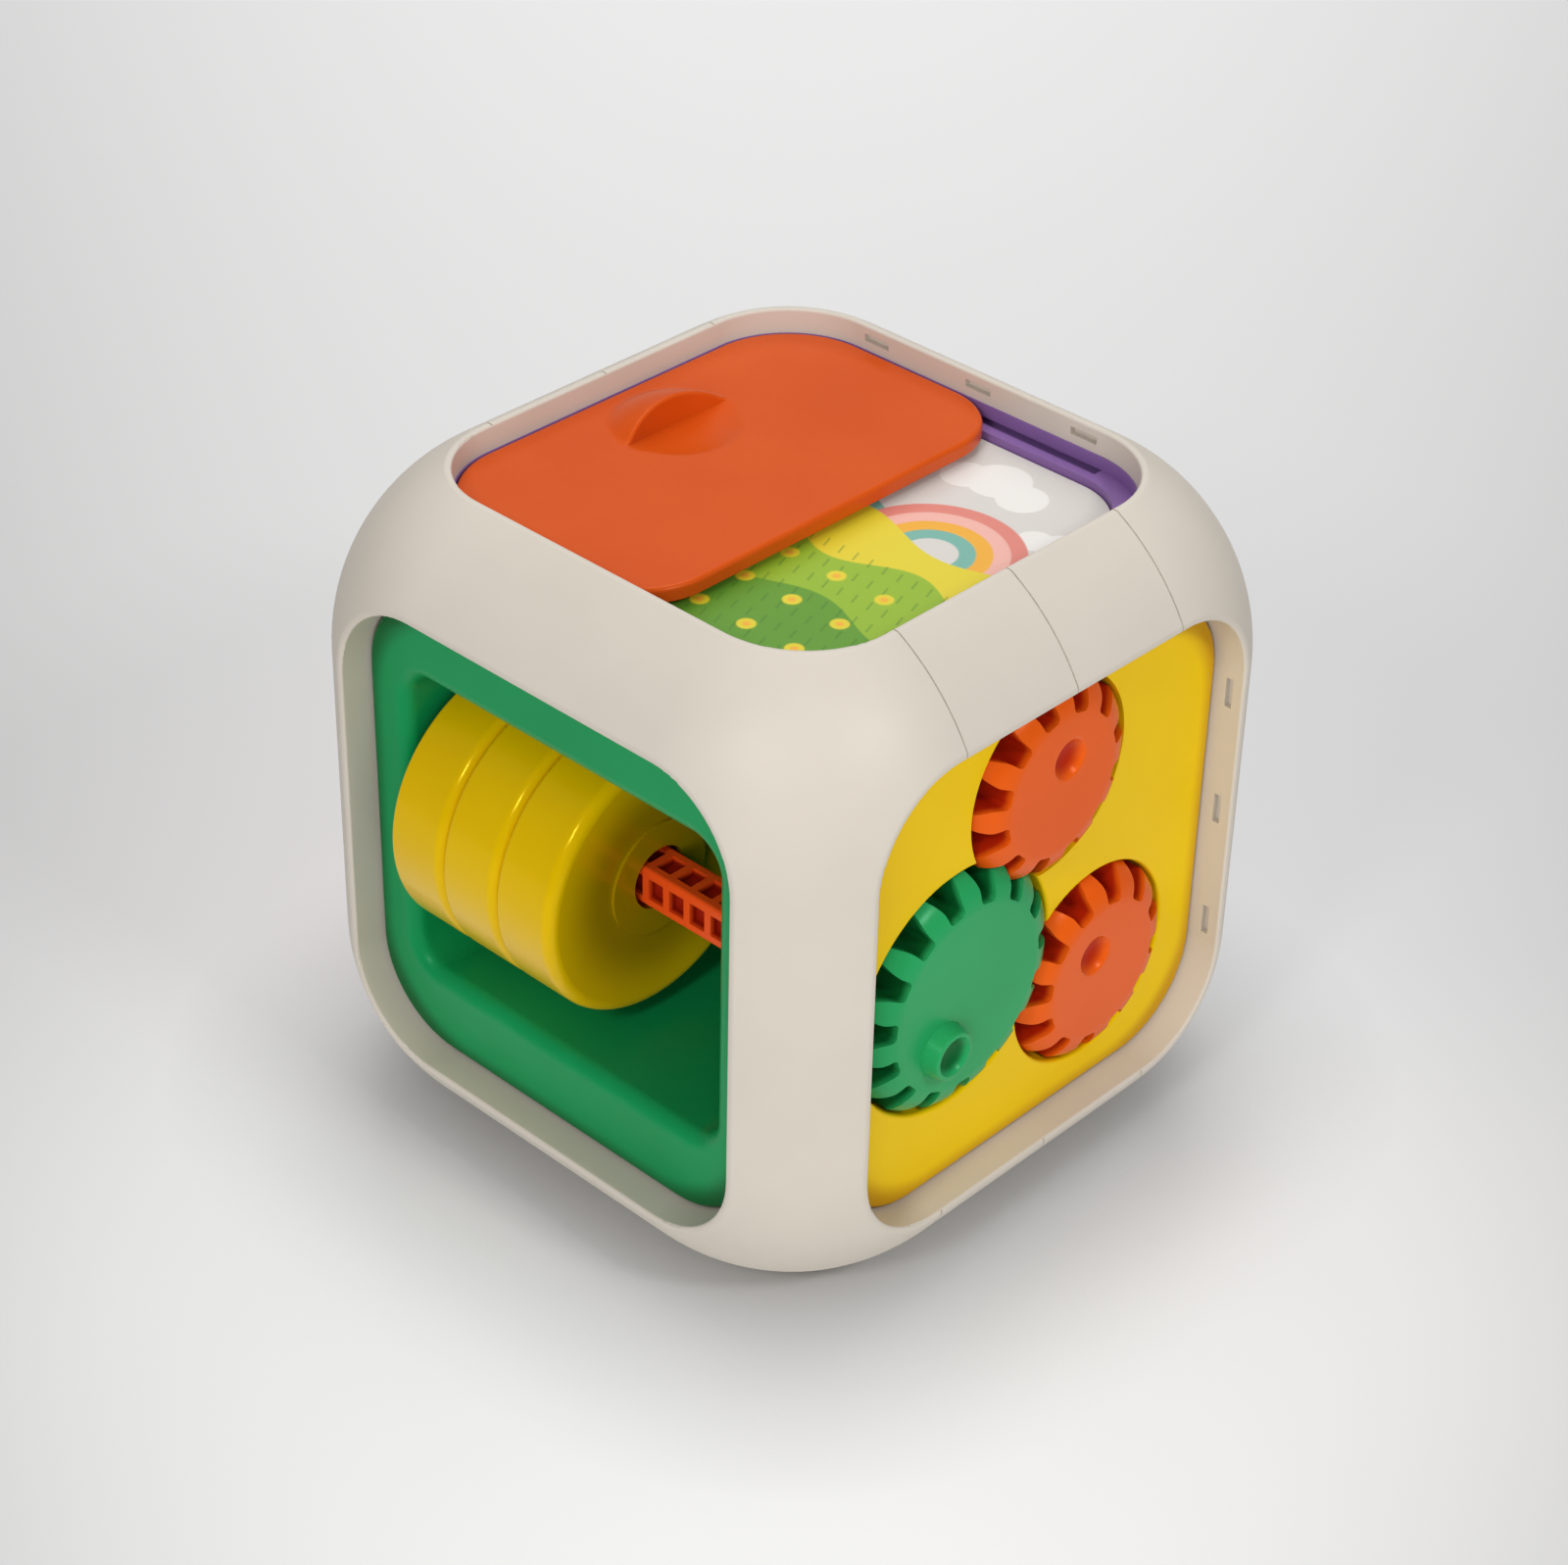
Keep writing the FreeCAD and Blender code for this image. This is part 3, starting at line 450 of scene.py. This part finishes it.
def below(tree, value, limit):
    step = add(tree, "ShaderNodeMapRange", {"interpolation_type": "SMOOTHSTEP"},
               Value=calc(tree, "SUBTRACT", value, limit),
               From_Min=-soft_edge, From_Max=soft_edge, To_Min=1.0, To_Max=0.0)
    return step.outputs["Result"]


def wave_line(tree, across, level, height, length, shift):
    swing = calc(tree, "SINE", calc(tree, "MULTIPLY_ADD", across, 2 * math.pi / length, shift))
    return calc(tree, "MULTIPLY_ADD", swing, height, level)


def circle_distance(tree, across, upward, x, y):
    dx = calc(tree, "SUBTRACT", across, x)
    dy = calc(tree, "SUBTRACT", upward, y)
    return calc(tree, "SQRT", calc(tree, "ADD", square(tree, dx), square(tree, dy)))


def dot_rows(tree, across, upward, pitch, radius, shift):
    cell_x = calc(tree, "PINGPONG", calc(tree, "ADD", across, shift), pitch / 2)
    cell_y = calc(tree, "PINGPONG", upward, pitch / 2)
    return below(tree, circle_distance(tree, cell_x, cell_y, 0.0, 0.0), radius)


print("edges of the print are soft over", 2 * soft_edge, "mm")

# %% [markdown]
# The short strokes on the lower bands are rows of blades. Each row repeats one slanted line along
# the card and keeps only its lower half, and every row is shifted against the one before it, so that
# the blades don't stand in columns.

# %% Blades
blade_pitch = 3.4
blade_height = 2.6
blade_half_width = 0.18
blade_lean = 0.35
blade_shift = 1.3
blade_ink = 0.55


def grass_blades(tree, across, upward):
    rows = calc(tree, "DIVIDE", upward, 2 * blade_height)
    row_shift = calc(tree, "MULTIPLY", calc(tree, "FLOOR", rows), blade_shift)
    rise = calc(tree, "MULTIPLY", calc(tree, "FRACT", rows), 2 * blade_height)
    lean = calc(tree, "MULTIPLY_ADD", rise, blade_lean, calc(tree, "ADD", across, row_shift))
    blade = below(tree, calc(tree, "PINGPONG", lean, blade_pitch / 2), blade_half_width)
    return calc(tree, "MULTIPLY", calc(tree, "MULTIPLY", blade, below(tree, rise, blade_height)), blade_ink)


print("blades are", blade_height, "mm high")

# %% [markdown]
# Now the print itself, from the back to the front: a pale sky with clouds, a far hill, two rainbows,
# three wavy bands, the blades and the dots with their centres. Each shape lays its ink over what is
# already there, as in screen printing.

# %% Inks and sky
card_ink = {
    "sky": (212, 208, 202), "cloud": (232, 229, 224), "lemon": (222, 204, 44), "leaf": (146, 182, 44),
    "grass": (96, 152, 44), "moss": (62, 118, 40), "rose": (220, 132, 120), "blush": (236, 178, 166),
    "honey": (236, 172, 52), "lagoon": (118, 178, 164),
}
large_cloud = ((12.0, 31.0, 4.5), (18.0, 33.5, 6.0), (25.0, 31.5, 4.8))
small_cloud = ((36.0, 22.0, 3.4), (41.0, 23.5, 4.4))
far_hill = {"level": 12.5, "height": 2.0, "length": 29.0, "shift": 1.2}


def print_over(tree, mask, under, name):
    return mix_colour(tree, mask, under, linear(*card_ink[name]))


printed, tree, shader, place = blank_material("printed_card")
across, upward = millimetres(tree)[:2]
ink = linear(*card_ink["sky"])
for x, y, radius in large_cloud + small_cloud:
    puff = below(tree, circle_distance(tree, across, upward, x, y), radius)
    ink = print_over(tree, puff, ink, "cloud")
ink = print_over(tree, below(tree, upward, wave_line(tree, across, **far_hill)), ink, "lagoon")
print("inks on the card", len(card_ink))

# %% [markdown]
# A rainbow is a stack of discs, the largest first, so that only a ring of each is left to see. A
# band is all that lies below a wave, and it hides the lower half of the rainbows.

# %% Rainbows and bands
rainbow_middles = ((26.0, 6.0), (-30.0, 10.0))
rainbow_rings = {"rose": 17.0, "blush": 14.0, "honey": 11.0, "lagoon": 8.0, "sky": 5.0}
bands = {
    "lemon": {"level": 8.0, "height": 2.6, "length": 41.0, "shift": 0.4},
    "leaf": {"level": -4.0, "height": 3.0, "length": 33.0, "shift": 2.1},
    "grass": {"level": -20.0, "height": 2.6, "length": 37.0, "shift": 4.0},
}
for x, y in rainbow_middles:
    far = circle_distance(tree, across, upward, x, y)
    for name, radius in rainbow_rings.items():
        ink = print_over(tree, below(tree, far, radius), ink, name)
for name, wave in bands.items():
    ink = print_over(tree, below(tree, upward, wave_line(tree, across, **wave)), ink, name)
print("rainbow rings", len(rainbow_rings), "bands", len(bands))

# %% [markdown]
# Blades and dots come last and only on the lower part of the card. Card stock has a fibre that shows
# as a faint unevenness in the gloss of the print, so its roughness and bump are fine noise.

# %% Blades, dots and card stock
blades_top = -2.0
dots_top = -9.0
dot_pitch = 11.0
dot_shift = 2.0
dot_rings = {"lemon": 1.7, "honey": 0.7}
fibre_scale = 2500.0
fibre_detail = 3.0
card_roughness = 0.38
card_unevenness = 0.12
fibre_bump = 0.03
fibre_depth = 0.0002
blades = calc(tree, "MULTIPLY", grass_blades(tree, across, upward), below(tree, upward, blades_top))
ink = print_over(tree, blades, ink, "moss")
for name, radius in dot_rings.items():
    dots = dot_rows(tree, across, upward, dot_pitch, radius, dot_shift)
    ink = print_over(tree, calc(tree, "MULTIPLY", dots, below(tree, upward, dots_top)), ink, name)
fibre = add(tree, "ShaderNodeTexNoise", Vector=place, Scale=fibre_scale, Detail=fibre_detail)
uneven = calc(tree, "MULTIPLY_ADD", fibre.outputs["Fac"], card_unevenness, card_roughness)
bump = add(tree, "ShaderNodeBump", Height=fibre.outputs["Fac"], Strength=fibre_bump, Distance=fibre_depth)
fill(tree, shader.inputs["Base Color"], ink)
fill(tree, shader.inputs["Roughness"], uneven)
fill(tree, shader.inputs["Normal"], bump.outputs["Normal"])
print("dots every", dot_pitch, "mm")

# %% [markdown]
# The hollows between a gear's teeth hold less light than its face, so they get painted shade. Painting
# them by hand would be slow, so the painted shade follows a depth in millimetres, 0 on the outer
# surface and growing inwards. One helper mixes the painted shade tone into any moulded plastic.

# %% Painted shade in hollows
painted_shade_start = 0.2
painted_shade_full = 2.0


def paint_shade(material, depth, tone, low=painted_shade_full):
    tree = material.node_tree
    colour = tree.nodes["Principled BSDF"].inputs["Base Color"]
    tint = colour.links[0].from_socket
    amount = add(tree, "ShaderNodeMapRange", {"interpolation_type": "SMOOTHSTEP"}, Value=depth,
                 From_Min=painted_shade_start, From_Max=low)
    fill(tree, colour, mix_colour(tree, amount.outputs["Result"], tint, linear(*tone)))
    return material


print("hollows darken down to", painted_shade_full, "mm")

# %% [markdown]
# On a gear the outer surface is its flat face and the domed rim, which is close to a parabola that
# starts at the root of the teeth. How far the dome has dropped depends on the distance from the
# axle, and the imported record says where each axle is.

# %% Gears
gear_face = per_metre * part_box("upper_gear")[1][0]
joints = frame["record"]["behaviour"]["joints"]
axle_of = {joint["child"]: per_metre * Vector(joint["pos_m"]) for joint in joints if "pos_m" in joint}
small_rim = 13.3
rim_start = {"drive_gear": 17.7, "upper_gear": small_rim, "lower_gear": small_rim}
dome_bend = 0.088
shaded_green = (10, 96, 44)
shaded_orange = (178, 36, 8)


def hollow_depth(tree, gear):
    x, y, z = millimetres(tree)
    radius = circle_distance(tree, y, z, axle_of[gear].y, axle_of[gear].z)
    past_rim = calc(tree, "MAXIMUM", calc(tree, "SUBTRACT", radius, rim_start[gear]), 0.0)
    dome = calc(tree, "MULTIPLY", square(tree, past_rim), dome_bend)
    return calc(tree, "SUBTRACT", calc(tree, "SUBTRACT", gear_face, x), dome)


# Painted shade darkens the hollows between the teeth of each gear.
green_depth = hollow_depth(gear_green.node_tree, "drive_gear")
gear_finish = {"drive_gear": paint_shade(gear_green, green_depth, shaded_green)}
for gear in ("upper_gear", "lower_gear"):
    orange = moulded_plastic(gear + "_orange", orange_tones, bright_gloss)
    gear_finish[gear] = paint_shade(orange, hollow_depth(orange.node_tree, gear), shaded_orange)
print("gear face at", round(gear_face, 2), "mm, finishes", len(gear_finish))

# %% [markdown]
# The green gear's finger knob is hollow, and painted shade darkens the hollow too. The knob's place is
# read from the mesh: the ring of points on its top has the knob's axis in its middle, and the nearest
# of them shows how wide the hollow is. Outside the hollow the depth is held at 0.

# %% Knob
knob_top = per_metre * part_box("drive_gear")[1][0]
knob_shade_depth = 1.4
top_tolerance = 0.01
gear_points = [per_metre * corner.co for corner in nodes["drive_gear"].data.vertices]
top_ring = [point for point in gear_points if point.x > knob_top - top_tolerance]
knob_low = Vector([min(point[way] for point in top_ring) for way in range(3)])
knob_high = Vector([max(point[way] for point in top_ring) for way in range(3)])
knob_middle = (knob_low + knob_high) / 2
hollow_radius = min((point - knob_middle).length for point in top_ring)
tree = gear_green.node_tree
x, y, z = millimetres(tree)
from_middle = circle_distance(tree, y, z, knob_middle.y, knob_middle.z)
inside = calc(tree, "LESS_THAN", from_middle, hollow_radius)
knob_depth = calc(tree, "MULTIPLY", calc(tree, "SUBTRACT", knob_top, x), inside)
paint_shade(gear_green, knob_depth, shaded_green, knob_shade_depth)
print("knob hollow is", round(2 * hollow_radius, 2), "mm wide")

# %% [markdown]
# The square rod has a row of moulded pockets in each side, and painted shade darkens them by depth.
# Its depth is how far a spot lies inside the square: half the rod's thickness, less the larger of its
# distances from the middle line along Y and along Z. Everything in a pocket lies inside, and the sides
# themselves are at depth 0.

# %% Rod
rod_low, rod_high = (per_metre * Vector(corner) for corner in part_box("disc_rod"))
rod_middle = (rod_low + rod_high) / 2
rod_half = (rod_high.z - rod_low.z) / 2
pocket_shade_depth = 1.2
shaded_rod = (150, 28, 8)
rod_pocket_shade = moulded_plastic("rod_pocket_shaded", rod_tones, plain_gloss)
tree = rod_pocket_shade.node_tree
y, z = millimetres(tree)[1:]
off_y = calc(tree, "ABSOLUTE", calc(tree, "SUBTRACT", y, rod_middle.y))
off_z = calc(tree, "ABSOLUTE", calc(tree, "SUBTRACT", z, rod_middle.z))
pocket_depth = calc(tree, "SUBTRACT", rod_half, calc(tree, "MAXIMUM", off_y, off_z))
paint_shade(rod_pocket_shade, pocket_depth, shaded_rod, pocket_shade_depth)
print("rod is", round(2 * rod_half, 2), "mm square")

# %% [markdown]
# The side face of a disc is dished and sits deep in its trough, so painted shade darkens it towards
# the hub, while the rounded edge stays bright. The same helper paints it, with a depth that is
# measured from the edge towards the rod. It is the same all round, so a disc that spins keeps its look.

# %% Discs
disc_edge = 25.5
disc_shade_depth = 12.0
shaded_disc = (160, 130, 0)
tree = disc_yellow.node_tree
y, z = millimetres(tree)[1:]
from_rod = circle_distance(tree, y, z, rod_middle.y, rod_middle.z)
paint_shade(disc_yellow, calc(tree, "SUBTRACT", disc_edge, from_rod), shaded_disc, disc_shade_depth)
print("discs darken from", disc_edge, "mm inwards")

# %% [markdown]
# Every side panel runs under the frame's rim, where less light reaches it, so painted shade darkens a
# band along its edge. The opening is a square with round corners, so the distance to its edge is worked
# out as for one: only what sticks out over the straight part counts, and a circle does the rest.

# %% Painted shade on panels under the rim
rim_straight = 24.3
rim_corner = 23.4
rim_shade_band = 4.5
rim_shade_of = {
    "yellow": (205, 152, 0), "green": (4, 96, 46), "orange": (196, 66, 8), "purple": (106, 76, 134),
}
base_green = moulded_plastic("base_green", green_tones, plain_gloss)
back_purple = moulded_plastic("back_purple", purple_tones, plain_gloss)
panel_finish = {
    "gear_panel": (panel_yellow, "yz", "yellow"), "disc_tray": (tray_green, "xz", "green"),
    "left_panel": (panel_orange, "yz", "orange"), "back_panel": (back_purple, "xz", "purple"),
    "base_panel": (base_green, "xy", "green"),
}


def past_straight(tree, value):
    return calc(tree, "MAXIMUM", calc(tree, "SUBTRACT", calc(tree, "ABSOLUTE", value), rim_straight), 0.0)


for material, ways, tone in panel_finish.values():
    tree = material.node_tree
    x, y, z = millimetres(tree)
    place_of = {"x": x, "y": y, "z": calc(tree, "SUBTRACT", z, per_metre * cube_centre.z)}
    first, second = (past_straight(tree, place_of[way]) for way in ways)
    from_arc = circle_distance(tree, first, second, 0.0, 0.0)
    rim_shade_depth = calc(tree, "SUBTRACT", from_arc, rim_corner - rim_shade_band)
    paint_shade(material, rim_shade_depth, rim_shade_of[tone], rim_shade_band)
print("panels with a deeper edge", len(panel_finish))

# %% [markdown]
# Every CAD piece now gets its finish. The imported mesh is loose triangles, so a Weld modifier first
# joins their corners. Smooth shading with an edge split then keeps flat faces flat and lets round
# ones shine as one surface.

# %% Hand out the finishes
finish_of = {
    "frame_front_half": cream, "frame_back_half": cream, "disc_rod": rod_pocket_shade, **gear_finish,
    **{panel: material for panel, (material, ways, tone) in panel_finish.items()},
    "card_tray": tray_purple, "picture_card": printed, "sliding_door": door_orange,
    "disc_1": disc_yellow, "disc_2": disc_yellow, "disc_3": disc_yellow,
    "disc_bush_1": rod_orange, "disc_bush_2": rod_orange, "disc_bush_3": rod_orange,
}
weld_reach = 0.00001
smooth_limit = math.radians(30)
even_weight = 50
for name, piece in nodes.items():
    piece.data.materials.clear()
    piece.data.materials.append(finish_of.get(name, steel))
    piece.data.polygons.foreach_set("use_smooth", [True] * len(piece.data.polygons))
    weld = piece.modifiers.new("weld", "WELD")
    weld.merge_threshold = weld_reach
    split = piece.modifiers.new("edges", "EDGE_SPLIT")
    split.split_angle = smooth_limit
    even = piece.modifiers.new("normals", "WEIGHTED_NORMAL")
    even.mode = "FACE_AREA"
    even.weight = even_weight
print("finished pieces", len(nodes))
